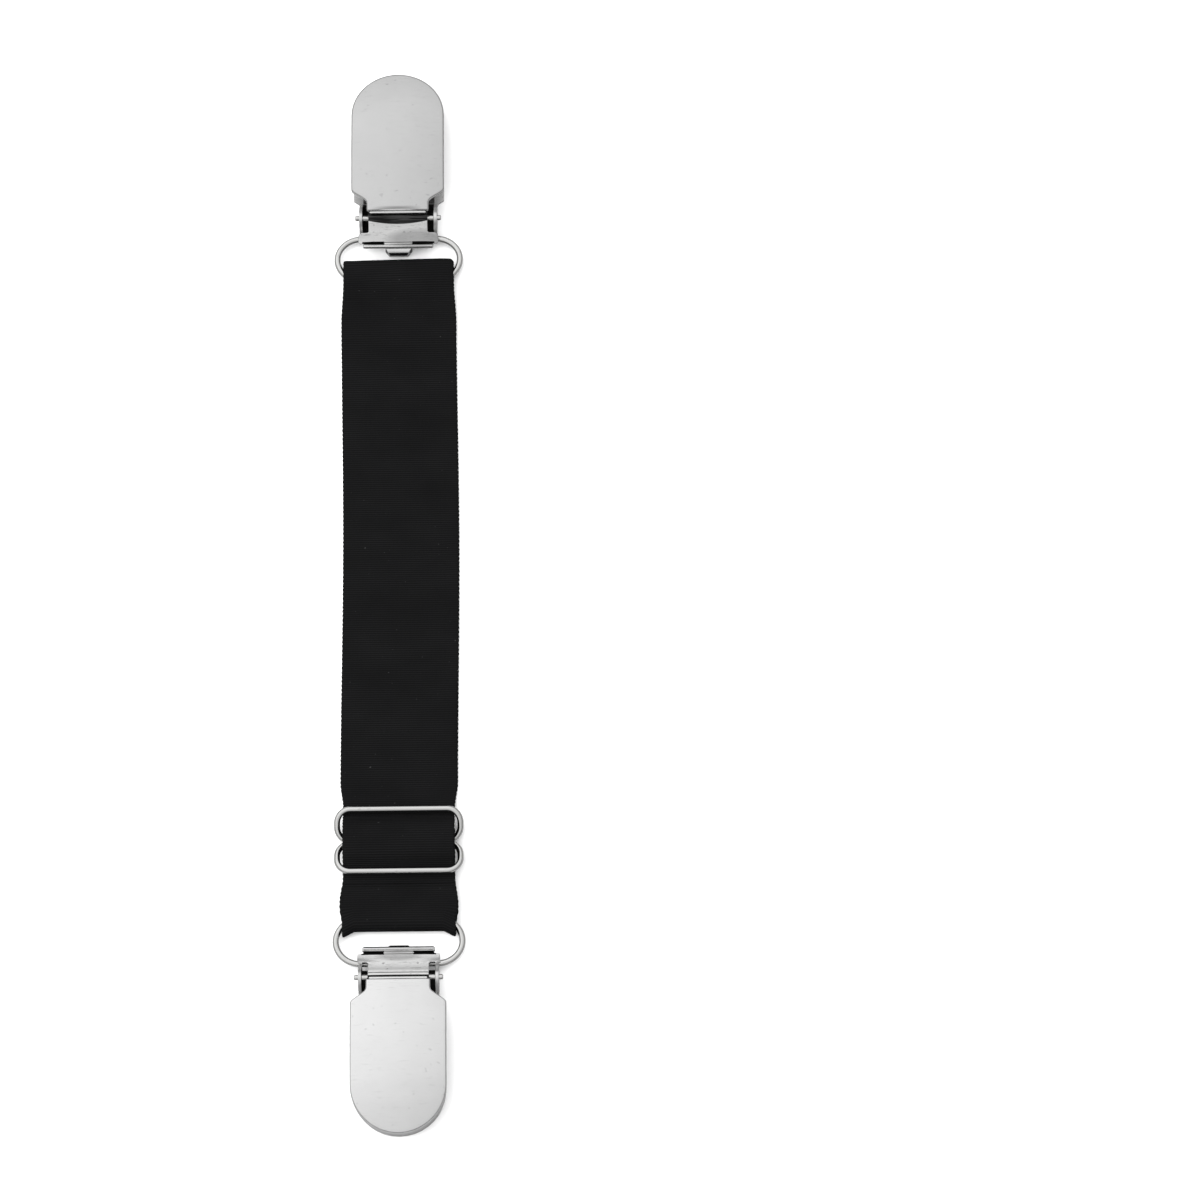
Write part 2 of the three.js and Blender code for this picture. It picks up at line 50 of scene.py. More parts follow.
FOLD_RADIUS, TOP_FOLD_Y, BOTTOM_FOLD_Y = 1.5, 73.1, 71.2
SLIDER_Y, SLIDER_SPAN, SLIDER_BAR_Z = -54.05, 6.65, 2.05
SEAM_TAIL_Y, SEAM_RING_Y, SINGLE_Y, BELOW_SLIDER_Y = 58.05, 65.05, 52.85, -63.3
TAIL_LOOP_REACH = 3.065
LOW, DOUBLED, OVER_LOWER, OVER_BAR, HUMP = 0.55, 1.57, 1.95, 3.55, 5.0
WAVE, SLANT, CORNER_CLIP, CORNER_SAG, SAG_FROM = 0.45, 0.22, 0.5, 1.2, 9.3
# Shares of the half width that step round the thin edge
EDGE_STEPS = np.array([0.966, 0.98, 0.993, 1.0])
WEBBING_BLACK, RIB_SHEEN = (0.003, 0.003, 0.0031), (0.0088, 0.0088, 0.0092)
LINT_GREY = (0.06, 0.06, 0.06)


def smooth(start, end, value):
    """0 before start, 1 after end, and 3t^2 - 2t^3 of the share t between them."""
    t = np.clip((value - start) / (end - start), 0.0, 1.0)
    return t * t * (3.0 - 2.0 * t)


def rounded(line, times):
    """Cuts a line's corners: each side gives its points at 1/4 and 3/4, and the ends stay."""
    for _ in range(times):
        near = 0.75 * line[:-1] + 0.25 * line[1:]
        far = 0.25 * line[:-1] + 0.75 * line[1:]
        inner = np.stack([near, far], axis=1).reshape(-1, line.shape[1])
        line = np.concatenate([line[:1], inner[1:-1], line[-1:]])
    return line


def even_steps(line, step):
    """Points along a line at equal distances of about one step, and their distances."""
    length = np.concatenate([[0.0], np.cumsum(np.linalg.norm(np.diff(line, axis=0), axis=1))])
    at = np.linspace(0.0, length[-1], int(length[-1] / step) + 1)
    points = np.stack([np.interp(at, length, line[:, k]) for k in range(line.shape[1])], axis=1)
    return points, at


def side_normals(line):
    """Unit tangents of a line in the Y-Z plane, and the tangents turned a quarter to the left."""
    along = np.gradient(line, axis=0)
    along /= np.linalg.norm(along, axis=1, keepdims=True)
    return along, np.stack([-along[:, 1], along[:, 0]], axis=1)


def surface(name, grids, material, body, angle=35.0, merge=0.0, uv=None):
    """Object from grids of points (rows, columns, 3), in millimetres, each with its ends.

    Each grid's columns run round a section. Ends "caps" close its two end rows with a face
    each, "loop" joins the last row to the first, and "open" leaves them, for merge to close.
    Faces are turned outward by the sign of each grid's volume. Edges are sharp past the angle
    in degrees. uv gives one (u, v) grid with a row and a column more, for one grid alone.
    """
    points, faces = [], []
    start = 0
    for grid, ends in grids:
        rows, columns = grid.shape[:2]
        last = rows if ends == "loop" else rows - 1
        i, j = np.meshgrid(np.arange(last), np.arange(columns), indexing="ij")
        i, j = i.ravel(), j.ravel()
        up, right = (i + 1) % rows, (j + 1) % columns
        quads = np.stack([i * columns + j, i * columns + right,
                          up * columns + right, up * columns + j], axis=1)
        flat = grid.reshape(-1, 3)
        a, b, c, d = (flat[quads[:, k]] for k in range(4))
        volume = (a * np.cross(b, c)).sum() + (a * np.cross(c, d)).sum()
        caps = []
        if ends == "caps":
            ring = np.arange(columns)
            caps = [ring[::-1], ring + (rows - 1) * columns]
        if volume < 0:
            quads, caps = quads[:, ::-1], [cap[::-1] for cap in caps]
        faces += (quads + start).tolist() + [(cap + start).tolist() for cap in caps]
        points.append(flat)
        start += len(flat)
    mesh = bpy.data.meshes.new(name)
    mesh.from_pydata((np.concatenate(points) * MM).tolist(), [], faces)
    if uv is not None:
        corners = np.zeros((len(mesh.loops), 2))
        rows, columns = uv.shape[0] - 1, uv.shape[1] - 1
        i, j = np.meshgrid(np.arange(rows), np.arange(columns), indexing="ij")
        i, j = i.ravel(), j.ravel()
        square = np.stack([uv[i, j], uv[i, j + 1], uv[i + 1, j + 1], uv[i + 1, j]], axis=1)
        if volume < 0:
            square = square[:, ::-1]
        corners[: len(square) * 4] = square.reshape(-1, 2)
        layer = mesh.uv_layers.new(name="weave")
        layer.data.foreach_set("uv", corners.ravel())
    if merge:
        work = bmesh.new()
        work.from_mesh(mesh)
        bmesh.ops.remove_doubles(work, verts=work.verts, dist=merge * MM)
        bmesh.ops.dissolve_degenerate(work, edges=work.edges, dist=1e-7)
        bmesh.ops.recalc_face_normals(work, faces=work.faces)
        work.to_mesh(mesh)
        work.free()
    mesh.validate()
    mesh.shade_smooth()
    mesh.set_sharp_from_angle(angle=math.radians(angle))
    mesh.materials.append(material)
    piece = bpy.data.objects.new(name, mesh)
    bpy.context.scene.collection.objects.link(piece)
    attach(piece, body)
    return piece


def new_group(name, inputs, outputs):
    """An empty shader node group with inputs (name, kind, value) and outputs (name, kind)."""
    group = bpy.data.node_groups.new(name, "ShaderNodeTree")
    for label, kind, value in inputs:
        socket = group.interface.new_socket(label, in_out="INPUT", socket_type=kind)
        socket.default_value = value
    for label, kind in outputs:
        group.interface.new_socket(label, in_out="OUTPUT", socket_type=kind)
    return group, group.nodes.new("NodeGroupInput"), group.nodes.new("NodeGroupOutput")


def add(tree, kind, links=(), values=(), **settings):
    """Adds a node: its settings, the values of its sockets, and links from other sockets."""
    node = tree.nodes.new("ShaderNode" + kind)
    for key, value in settings.items():
        setattr(node, key, value)
    for key, value in dict(values).items():
        node.inputs[key].default_value = value
    for key, socket in dict(links).items():
        tree.links.new(socket, node.inputs[key])
    return node


def math_node(tree, operation, first, second=None, third=None, clamp=False):
    """The output of a Math node; each operand is a socket or a number."""
    node = tree.nodes.new("ShaderNodeMath")
    node.operation, node.use_clamp = operation, clamp
    for k, operand in enumerate((first, second, third)):
        if operand is None:
            continue
        if isinstance(operand, (int, float)):
            node.inputs[k].default_value = operand
        else:
            tree.links.new(operand, node.inputs[k])
    return node.outputs[0]


def product(tree, *factors):
    """The output of Multiply nodes that take the factors in turn."""
    result = factors[0]
    for factor in factors[1:]:
        result = math_node(tree, "MULTIPLY", result, factor)
    return result


def wave(tree, place, pitch):
    """0.5 + 0.5 sin(2 pi place / pitch)."""
    sine = math_node(tree, "SINE", math_node(tree, "MULTIPLY", place, 2 * math.pi / pitch))
    return math_node(tree, "MULTIPLY_ADD", sine, 0.5, 0.5)


def graded(tree, value, start, end, first=0.0, last=1.0):
    """The output of a Map Range node: first before start, last after end, straight between."""
    node = add(tree, "MapRange", {0: value}, {1: start, 2: end, 3: first, 4: last})
    return node.outputs[0]


def noise(tree, place, scale, detail, roughness=0.5):
    """The output of a Noise Texture node."""
    values = {"Scale": scale, "Detail": detail, "Roughness": roughness}
    return add(tree, "TexNoise", {"Vector": place}, values).outputs[0]


def mixed(tree, factor, first, second):
    """The output of a colour mix; each colour is a socket or three numbers."""
    node = tree.nodes.new("ShaderNodeMix")
    node.data_type = "RGBA"
    for key, operand in ((0, factor), (6, first), (7, second)):
        if isinstance(operand, tuple):
            node.inputs[key].default_value = (*operand, 1.0)
        else:
            tree.links.new(operand, node.inputs[key])
    return node.outputs[2]


def new_material(name):
    """A material with its Principled shader: returns the material, its tree and the shader."""
    material = bpy.data.materials.new(name)
    material.use_nodes = True
    return material, material.node_tree, material.node_tree.nodes["Principled BSDF"]


def webbing_line():
    """Centre line (y, z) of the band from the tail behind the upper ring to the slider tail."""
    turn = np.linspace(-0.5 * math.pi, 0.5 * math.pi, 25)

    def fold(y, z, sign):
        return np.stack([sign * (y + FOLD_RADIUS * np.cos(turn)),
                         z + FOLD_RADIUS * np.sin(turn)], axis=1)

    def at_slider(rows):
        return np.array([[SLIDER_Y + share * SLIDER_SPAN, z] for share, z in rows])

    rise, over = SLIDER_BAR_Z - LOW, HUMP - SLIDER_BAR_Z
    approach = at_slider([(1.85, LOW), (1.5, LOW + 0.12 * rise), (1.22, LOW + 0.48 * rise)])
    half_hump = [(1.0, 0.0), (0.83, 0.18), (0.66, 0.47), (0.51, 0.78), (0.35, 0.93), (0.18, 0.99)]
    hump = at_slider(
        [(s, SLIDER_BAR_Z + over * r) for s, r in half_hump] + [(0.0, HUMP)]
        + [(-s, SLIDER_BAR_Z + over * r) for s, r in half_hump[::-1]]
    )
    loop_y = SLIDER_Y + TAIL_LOOP_REACH - 0.5 * WEBBING_THICK - FOLD_RADIUS
    loop_top = 2 * SLIDER_BAR_Z - LOW
    return np.concatenate([
        [[SEAM_TAIL_Y, LOW], [SEAM_RING_Y, LOW], [RING_BAR_Y, LOW]],
        fold(TOP_FOLD_Y, RING_BAR_Z, 1),
        [[RING_BAR_Y, OVER_BAR],
         [0.5 * (RING_BAR_Y + SEAM_RING_Y), 0.5 * (OVER_BAR + DOUBLED)],
         [SEAM_RING_Y, DOUBLED], [SEAM_TAIL_Y, DOUBLED],
         [SINGLE_Y, LOW], [30.0, LOW], [0.0, LOW], [-30.0, LOW]],
        approach, hump,
        at_slider([(-1.5, OVER_LOWER + 0.08)]),
        [[BELOW_SLIDER_Y, 0.5 * (OVER_LOWER + OVER_BAR)], [-RING_BAR_Y, OVER_BAR]],
        fold(BOTTOM_FOLD_Y, RING_BAR_Z, -1)[::-1],
        [[-RING_BAR_Y, LOW], [BELOW_SLIDER_Y, LOW]], at_slider([(-1.0, LOW), (-0.3, LOW)]),
        fold(loop_y, SLIDER_BAR_Z, 1),
        at_slider([(-0.29, loop_top), (-0.4, 0.5 * (loop_top + DOUBLED)), (-0.52, DOUBLED),
                   (-0.685, DOUBLED)]),
    ])


def webbing_half(y):
    """Half width: full, less the narrowing where it turns round a ring or runs over the slider."""
    top = FOLD_NARROWING * smooth(RING_BAR_Y - 2 * RING_HALF_DEPTH, RING_BAR_Y, y)
    bottom = FOLD_NARROWING * smooth(RING_BAR_Y - 0.5 * RING_HALF_DEPTH, RING_BAR_Y, -y)
    slider = SLIDER_NARROWING * (1 - smooth(1.1, 2.0, np.abs(y - SLIDER_Y) / SLIDER_SPAN))
    return WEBBING_HALF - np.maximum(np.maximum(top, bottom), slider)


def webbing_shift(x, y):
    """Sideways wave (x) of the free run, and the slant, clipped corner and sag (y) of the folds.

    The wave is a sine squared over the run's share. The others grow with x and near a ring.
    """
    free_from, free_to = SLIDER_Y + 1.5 * SLIDER_SPAN, RING_BAR_Y - RING_HALF_DEPTH
    share = np.clip((y - free_from) / (free_to - free_from), 0.0, 1.0)
    fold_half = WEBBING_HALF - FOLD_NARROWING
    near_top = smooth(RING_BAR_Y - 0.6 * RING_HALF_DEPTH, RING_BAR_Y, y)
    near_bottom = smooth(RING_BAR_Y - 0.6 * RING_HALF_DEPTH, RING_BAR_Y, -y)
    top = SLANT * x / fold_half - CORNER_CLIP * smooth(fold_half - 1.0, fold_half, x)
    sag = CORNER_SAG * smooth(SAG_FROM, fold_half, np.abs(x))
    return WAVE * np.sin(math.pi * share) ** 2, top * near_top - sag * near_bottom


line, run = even_steps(rounded(webbing_line(), 2), 0.16)
along, up = side_normals(line)
across = np.concatenate([-EDGE_STEPS[::-1], np.linspace(-0.94, 0.94, 13), EDGE_STEPS])
rim = np.clip((1 - np.abs(across)) * WEBBING_HALF / EDGE_ROUND, 0.0, 1.0)
height = 0.5 * WEBBING_THICK * np.sqrt(1 - (1 - rim) ** 2)
across = np.concatenate([across, across[-2:0:-1]])
height = np.concatenate([height, -height[-2:0:-1]])
centre_y = line[:, :1] + up[:, :1] * height
knitted = EDGE_NOTCH * (0.5 + 0.5 * np.cos(math.pi * run / RIB_PITCH))
notch = knitted[:, None] * np.abs(across) ** 24
x = across * (webbing_half(centre_y) - notch)
swayed, shifted = webbing_shift(x, centre_y)
band = np.stack([x + swayed, centre_y + shifted, line[:, 1:] + up[:, 1:] * height], axis=2)

# The weave runs with the band: u once round its section, v along it
girth = np.linspace(0.0, 1.0, len(across) + 1)
weave_uv = np.stack(np.meshgrid(girth, run / run[-1]), axis=2)

webbing_material, tree, shader = new_material("ribbed_black_elastic")
uv = add(tree, "UVMap", uv_map="weave")
weave = add(tree, "Mapping", {"Vector": uv.outputs[0]}, {"Scale": (WEBBING_GIRTH, run[-1], 1.0)})
place = weave.outputs[0]
turns = add(tree, "SeparateXYZ", {0: place})
waver = noise(tree, place, 0.35, 2.0)
rib = wave(tree, math_node(tree, "MULTIPLY_ADD", waver, 0.12, turns.outputs[1]), RIB_PITCH)
warp = wave(tree, turns.outputs[0], WARP_PITCH)
fuzz = noise(tree, place, 3.1, 4.0, 0.7)
relief = math_node(tree, "MULTIPLY_ADD", warp, 0.22, rib)
relief = math_node(tree, "MULTIPLY_ADD", fuzz, 0.9, relief)
cloud = math_node(tree, "MULTIPLY_ADD", noise(tree, place, 0.12, 3.0), 1.1, 0.1)
tone = math_node(tree, "MULTIPLY", rib, cloud, clamp=True)
colour = mixed(tree, tone, WEBBING_BLACK, RIB_SHEEN)
lint = graded(tree, noise(tree, place, 1.7, 1.0), 0.77, 0.84, 0.0, 0.7)
tree.links.new(mixed(tree, lint, colour, LINT_GREY), shader.inputs["Base Color"])
tree.links.new(math_node(tree, "MULTIPLY_ADD", rib, 0.12, 0.78), shader.inputs["Roughness"])
shader.inputs["Specular IOR Level"].default_value = 0.045
bump = add(tree, "Bump", {"Height": relief}, {"Strength": 0.55, "Distance": 0.09 * MM})
tree.links.new(bump.outputs[0], shader.inputs["Normal"])

webbing = surface("elastic_webbing", [(band, "caps")], webbing_material, "strap",
                  60.0, uv=weave_uv)
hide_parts("webbing")

# --- Slider ----------------------------------------------------------------------------------
# Bent from one 1.3 mm plated wire into two lobes that share the centre bar behind the webbing.
# The outer bars lie over the webbing's front.
WIRE_RADIUS, TUBE_STEP, TUBE_SIDES = 0.65, 0.25, 16
SLIDER_HALF_WIDTH, SLIDER_CORNER, SLIDER_RISE, LOBE_GAP = 13.0, 2.8, 2.3, 0.3
NICKEL, NICKEL_SHADE = (0.80, 0.80, 0.79), (0.62, 0.615, 0.60)


def plating_group():
    """Bright plating: cloudy tone, fine scuffs and small pits, all from noise in millimetres."""
    group, given, result = new_group(
        "plating",
        [("Bright", "NodeSocketColor", (*NICKEL, 1.0)),
         ("Shade", "NodeSocketColor", (*NICKEL_SHADE, 1.0)),
         ("Rough", "NodeSocketFloat", 0.12), ("Scuffs", "NodeSocketFloat", 0.5)],
        [("Color", "NodeSocketColor"), ("Roughness", "NodeSocketFloat"),
         ("Height", "NodeSocketFloat")],
    )
    where = add(group, "TexCoord")
    size = add(group, "Mapping", {"Vector": where.outputs["Object"]}, {"Scale": (1 / MM,) * 3})
    cloud = noise(group, size.outputs[0], 0.16, 3.0)
    stretch = add(group, "Mapping", {"Vector": size.outputs[0]},
                  {"Scale": (0.35, 2.6, 1.0), "Rotation": (0.0, 0.0, 0.5)})
    scuff = graded(group, noise(group, stretch.outputs[0], 1.3, 5.0, 0.65), 0.58, 0.70)
    pits = graded(group, noise(group, size.outputs[0], 1.1, 0.0), 0.77, 0.83)
    wear_and_painted_shade = math_node(group, "MULTIPLY", scuff, given.outputs["Scuffs"])
    shade = math_node(group, "MULTIPLY_ADD", cloud, 0.35, wear_and_painted_shade)
    shade = math_node(group, "MULTIPLY_ADD", pits, 0.5, shade, clamp=True)
    colour = mixed(group, shade, given.outputs["Bright"], given.outputs["Shade"])
    rough = math_node(group, "MULTIPLY_ADD", wear_and_painted_shade, 0.18, given.outputs["Rough"])
    rough = math_node(group, "MULTIPLY_ADD", cloud, 0.06, rough)
    depth = math_node(group, "MULTIPLY_ADD", wear_and_painted_shade, -0.25, cloud)
    depth = math_node(group, "MULTIPLY_ADD", pits, -0.6, depth)
    for label, socket in (("Color", colour), ("Roughness", rough), ("Height", depth)):
        group.links.new(socket, result.inputs[label])
    return group


def plated(name, bright, shade, rough, scuffs, bump_strength):
    """Metal with the plating group: its own two tones, roughness, scuffs and depth of bump.

    Returns the material, its tree, its shader, and the group node that feeds the shader.
    """
    material, tree, shader = new_material(name)
    finish = tree.nodes.new("ShaderNodeGroup")
    finish.node_tree = bpy.data.node_groups.get("plating") or plating_group()
    finish.inputs["Bright"].default_value = (*bright, 1.0)
    finish.inputs["Shade"].default_value = (*shade, 1.0)
    finish.inputs["Rough"].default_value = rough
    finish.inputs["Scuffs"].default_value = scuffs
    shader.inputs["Metallic"].default_value = 1.0
    tree.links.new(finish.outputs["Color"], shader.inputs["Base Color"])
    tree.links.new(finish.outputs["Roughness"], shader.inputs["Roughness"])
    bump = add(tree, "Bump", {"Height": finish.outputs["Height"]},
               {"Strength": bump_strength, "Distance": 0.05 * MM})
    tree.links.new(bump.outputs[0], shader.inputs["Normal"])
    return material, tree, shader, finish


def wire_plan(half_width, half_depth, reach, corner):
    """Closed plan of a wire: two straight bars along X and quarter-ellipse corners."""
    turn = np.linspace(0.0, 0.5 * math.pi, 25)
    bar, straight = half_width - reach, half_depth - corner
    quarter = np.stack([bar + reach * np.sin(turn), -straight - corner * np.cos(turn)], axis=1)
    right = np.concatenate([quarter, (quarter * [1, -1])[::-1]])
    return np.concatenate([right, right[::-1] * [-1, 1]])


def wire_tube(plan, height, centre_y):
    """Round wire along a closed plan: circles square to the path, its height a function of y."""
    closed = np.concatenate([plan, plan[:1]])
    moved = np.linalg.norm(np.diff(closed, axis=0), axis=1) > 1e-6
    path, _ = even_steps(closed[np.concatenate([[True], moved])], TUBE_STEP)
    path = path[:-1]
    path = np.column_stack([path[:, 0], path[:, 1] + centre_y, height(path[:, 1])])
    along = np.roll(path, -1, axis=0) - np.roll(path, 1, axis=0)
    along /= np.linalg.norm(along, axis=1, keepdims=True)
    side = np.cross(along, [0.0, 0.0, 1.0])
    side /= np.linalg.norm(side, axis=1, keepdims=True)
    top = np.cross(side, along)
    angle = (np.arange(TUBE_SIDES) * 2 * math.pi / TUBE_SIDES)[:, None]
    circle = np.cos(angle) * side[:, None] + np.sin(angle) * top[:, None]
    return path[:, None] + WIRE_RADIUS * circle


wire_material, *_ = plated("plated_wire", NICKEL, NICKEL_SHADE, 0.1, 0.35, 0.25)
lobe_half = (SLIDER_SPAN - LOBE_GAP) / 2
lobe_plan = wire_plan(SLIDER_HALF_WIDTH, lobe_half, SLIDER_CORNER, SLIDER_CORNER)
lobes = []
for toward in (1, -1):
    tube = wire_tube(
        lobe_plan,
        lambda y: SLIDER_BAR_Z + SLIDER_RISE * (lobe_half + toward * y) / (2 * lobe_half),
        SLIDER_Y + toward * (lobe_half + LOBE_GAP),
    )
    lobes.append((tube, "loop"))
slider = surface("wire_slider", lobes, wire_material, "strap")
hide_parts("slider")

# --- Rings -----------------------------------------------------------------------------------
# A closed ring of the same plated wire at each end, with straight long sides and half-round
# ends. The webbing turns round one side and the clip's tongue is hooked round the other.
RING_HALF_WIDTH, RING_END, RING_Y, CLIP_BAR_Z = 13.3, 5.25, 75.3, 1.65
ENDS = (("top", 1), ("bottom", -1))

ring_plan = wire_plan(RING_HALF_WIDTH, RING_HALF_DEPTH, RING_END, RING_HALF_DEPTH)
for end, sign in ENDS:
    tilt = sign * (CLIP_BAR_Z - RING_BAR_Z) / (2 * RING_HALF_DEPTH)
    tube = wire_tube(ring_plan, lambda y: 0.5 * (CLIP_BAR_Z + RING_BAR_Z) + tilt * y,
                     sign * RING_Y)
    ring = surface(f"{end}_wire_ring", [(tube, "loop")], wire_material, "strap")
    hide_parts(f"{end}_ring")

# --- Base plates -----------------------------------------------------------------------------
# The rear jaw of each clip, stamped from plated sheet: a flat shield with a turned-up tip, two
# ears for the pin and a tongue bent round the ring. Each is a softened copy of the CAD's mesh.
PLATE_BRIGHT, PLATE_SHADE = (0.95, 0.95, 0.945), (0.7, 0.7, 0.695)
INSIDE_PAINTED_SHADE = (0.030, 0.029, 0.028)
# Where the painted shade inside the jaw fades in or out: by height, by |x| and by distance
# along the clip
INSIDE_FROM_Z, INSIDE_TO_X = (0.62, 0.66), (7.72, 7.78)
INSIDE_FROM_Y, INSIDE_TO_Y = (81.25, 81.35), (88.2, 88.6)
MERGE_WITHIN, FLAT_WITHIN, SHARP_PAST = 0.002, math.radians(0.5), math.radians(32.0)
SOFT_WIDTH, SOFT_PAST = 0.07, math.radians(50.0)


def clip_place(tree, sign, origin=(0.0, 0.0, 0.0)):
    """Object coordinates in mm, outward along the clip, from an origin: vector, x, y and z."""
    where = add(tree, "TexCoord")
    place = add(tree, "Mapping", {"Vector": where.outputs["Object"]},
                {"Scale": (1 / MM, sign / MM, 1 / MM), "Location": [-value for value in origin]})
    parts = add(tree, "SeparateXYZ", {0: place.outputs[0]})
    return place.outputs[0], *parts.outputs


for end, sign in ENDS:
    plate_material, tree, shader, finish = plated(
        f"{end}_base_metal", PLATE_BRIGHT, PLATE_SHADE, 0.16, 0.6, 0.35)
    _, place_x, place_y, place_z = clip_place(tree, sign)
    # Painted shade: the jaw's inner face between the ears, under the shield and lever, is painted
    # near black
    above = graded(tree, place_z, *INSIDE_FROM_Z)
    inside = graded(tree, math_node(tree, "ABSOLUTE", place_x), *INSIDE_TO_X, 1.0, 0.0)
    jaw = graded(tree, place_y, *INSIDE_FROM_Y)
    rear = graded(tree, place_y, *INSIDE_TO_Y, 1.0, 0.0)
    inside_shade = product(tree, above, inside, jaw, rear)
    with_painted_shade = mixed(tree, inside_shade, finish.outputs["Color"], INSIDE_PAINTED_SHADE)
    tree.links.new(with_painted_shade, shader.inputs["Base Color"])
    ear = product(tree, above, math_node(tree, "SUBTRACT", 1.0, inside))
    rough = math_node(tree, "MULTIPLY_ADD", ear, 0.3, finish.outputs["Roughness"])
    rough = math_node(tree, "MULTIPLY_ADD", inside_shade, 0.35, rough)
    tree.links.new(rough, shader.inputs["Roughness"])

    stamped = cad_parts[f"{end}_base_plate"].data.copy()
    work = bmesh.new()
    work.from_mesh(stamped)
    bmesh.ops.remove_doubles(work, verts=work.verts, dist=MERGE_WITHIN * MM)
    bmesh.ops.dissolve_degenerate(work, edges=work.edges, dist=1e-7)
    bmesh.ops.dissolve_limit(work, angle_limit=FLAT_WITHIN, verts=work.verts, edges=work.edges)
    work.to_mesh(stamped)
    work.free()
    stamped.name = f"{end}_rear_jaw"
    stamped.shade_smooth()
    stamped.set_sharp_from_angle(angle=SHARP_PAST)
    stamped.materials.clear()
    stamped.materials.append(plate_material)
    rear_jaw = bpy.data.objects.new(f"{end}_rear_jaw", stamped)
    bpy.context.scene.collection.objects.link(rear_jaw)
    soften = rear_jaw.modifiers.new("soft_edges", "BEVEL")
    soften.width, soften.segments = SOFT_WIDTH * MM, 2
    soften.limit_method, soften.angle_limit = "ANGLE", SOFT_PAST
    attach(rear_jaw, f"{end}_clip")
    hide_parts(f"{end}_base_plate")

# --- Hinge pins ------------------------------------------------------------------------------
# A plain wire pin through the two ears and the lever's cam, its ends rounded and left proud.
PIN_Y, PIN_Z, PIN_RADIUS, PIN_HALF, PIN_NOSE = 83.6, 5.3, 0.55, 9.3, 0.22


def turned(x, radius, angle, v, z, sign):
    """Grid of a bar turned about X: at each x, a radius round a centre v from the pin, at z."""
    return np.stack([
        np.broadcast_to(x[:, None], (len(x), len(angle))),
        sign * (PIN_Y + v + radius * np.cos(angle)),
        z + radius * np.sin(angle),
    ], axis=2)


angle = np.linspace(0.0, 2 * math.pi, 24, endpoint=False)
nose = np.linspace(0.15, 0.5 * math.pi, 5)
nose_x = PIN_HALF - PIN_NOSE * (1 - np.cos(nose))
nose_r = PIN_RADIUS - PIN_NOSE * (1 - np.sin(nose))
shank = np.linspace(-PIN_HALF + 0.5, PIN_HALF - 0.5, 9)
pin_x = np.concatenate([-nose_x, shank, nose_x[::-1]])
pin_r = np.concatenate([nose_r, np.full(len(shank), PIN_RADIUS), nose_r[::-1]])[:, None]
for end, sign in ENDS:
    rod = turned(pin_x, pin_r, angle, 0.0, PIN_Z, sign)
    pin = surface(f"{end}_pin", [(rod, "caps")], wire_material, f"{end}_clip")
    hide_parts(f"{end}_hinge_pin")

# --- Levers ----------------------------------------------------------------------------------
# One plated stamping each: rolled into a cam round the pin, with a neck, square shoulders and
# an upturned lip that two slots leave joined by a middle bridge. Painted dark reflection on the
# cam, painted shadow in the slots and the crease beside them, dark sheets that stand in for the
# shadow under the slots, and a patch of painted shade on the plate.
SHEET, SHEET_ROUND = 0.7, 0.13
LEVER_FLAT_Z, LIP_RISE = 3.95, 0.95
NECK_HALF, SHOULDER_HALF, LIP_HALF, BRIDGE_HALF = 6.4, 8.65, 7.6, 3.0
SHOULDER_V, SHOULDER_ROUND, TOE_V, TOE_ROUND = -3.12, 0.8, -5.25, 0.35
CAM_RADIUS, CAM_LOBE, WING_DROOP, WINGS_END_V = 1.45, 0.4, 0.3, -5.5
# Each slot's dark sheet, which stands in for the shadow under the slot: its line (v, z), half
# width, thickness, rounding and middle |x|
SHADOW_SHEET_LINE = [(-5.22, 3.72), (-5.68, 3.76)]
SHADOW_SHEET_HALF, SHADOW_SHEET_THICK, SHADOW_SHEET_ROUND, SHADOW_SHEET_X = 2.15, 0.2, 0.06, 5.3
LEVER_SHADE, PATCH_SHADE_TONE = (0.5, 0.5, 0.5), (0.34, 0.34, 0.34)
CAM_PAINTED_DARK, SLOT_PAINTED_SHADOW = (0.022, 0.022, 0.022), (0.008, 0.008, 0.008)
# Painted dark reflection on the cam: it ends at this v in the middle, and sooner at the sides
# by the bow times x squared
CAM_DARK_TO, CAM_DARK_BOW = {"top": -1.6, "bottom": -0.3}, {"top": 0.016, "bottom": 0.001}
CAM_REFLECTION_STREAK = {"top": (0.15, 0.15, 0.15), "bottom": (0.03, 0.03, 0.03)}
# Painted shadow in the slots and the crease beside them: their middle v and half depth, and
# |x| from and to
SLOT_V, SLOT_DEPTH, CREASE_V, CREASE_DEPTH = -5.36, 0.38, -5.16, 0.07
SLOT_FROM_X, SLOT_TO_X = (3.0, 3.15), (7.75, 7.85)
# Patch of painted shade, for a darker reflection on the plate: its middle (x, v), its half
# sizes and its strength
PAINTED_SHADE_PATCH = {"top": (4.0, -4.6, 7.5, 2.3, 0.6), "bottom": (0.0, -4.7, 5.2, 1.25, 0.5)}


def bar_section(radius):
    """Rounded bar section: shares of the inner half width, offsets, levels and corner rises."""
    corner = np.linspace(0.5 * math.pi, -0.5 * math.pi, 9)
    flat = np.linspace(-1.0, 1.0, 13)[1:-1]
    sine = np.sin(corner)
    # The sign of the sine, and 0 where the corner is level with the middle
    side = np.where(np.abs(sine) < 1e-9, 0.0, np.sign(sine))
    share = np.concatenate([flat, np.ones(len(corner)), flat[::-1], -np.ones(len(corner))])
    out = np.concatenate([0 * flat, np.cos(corner), 0 * flat, -np.cos(corner)])
    level = np.concatenate([0 * flat + 1, side, 0 * flat - 1, -side])
    rise = np.concatenate([0 * flat + 1, sine, 0 * flat - 1, -sine])
    return share, out * radius, level, rise * radius


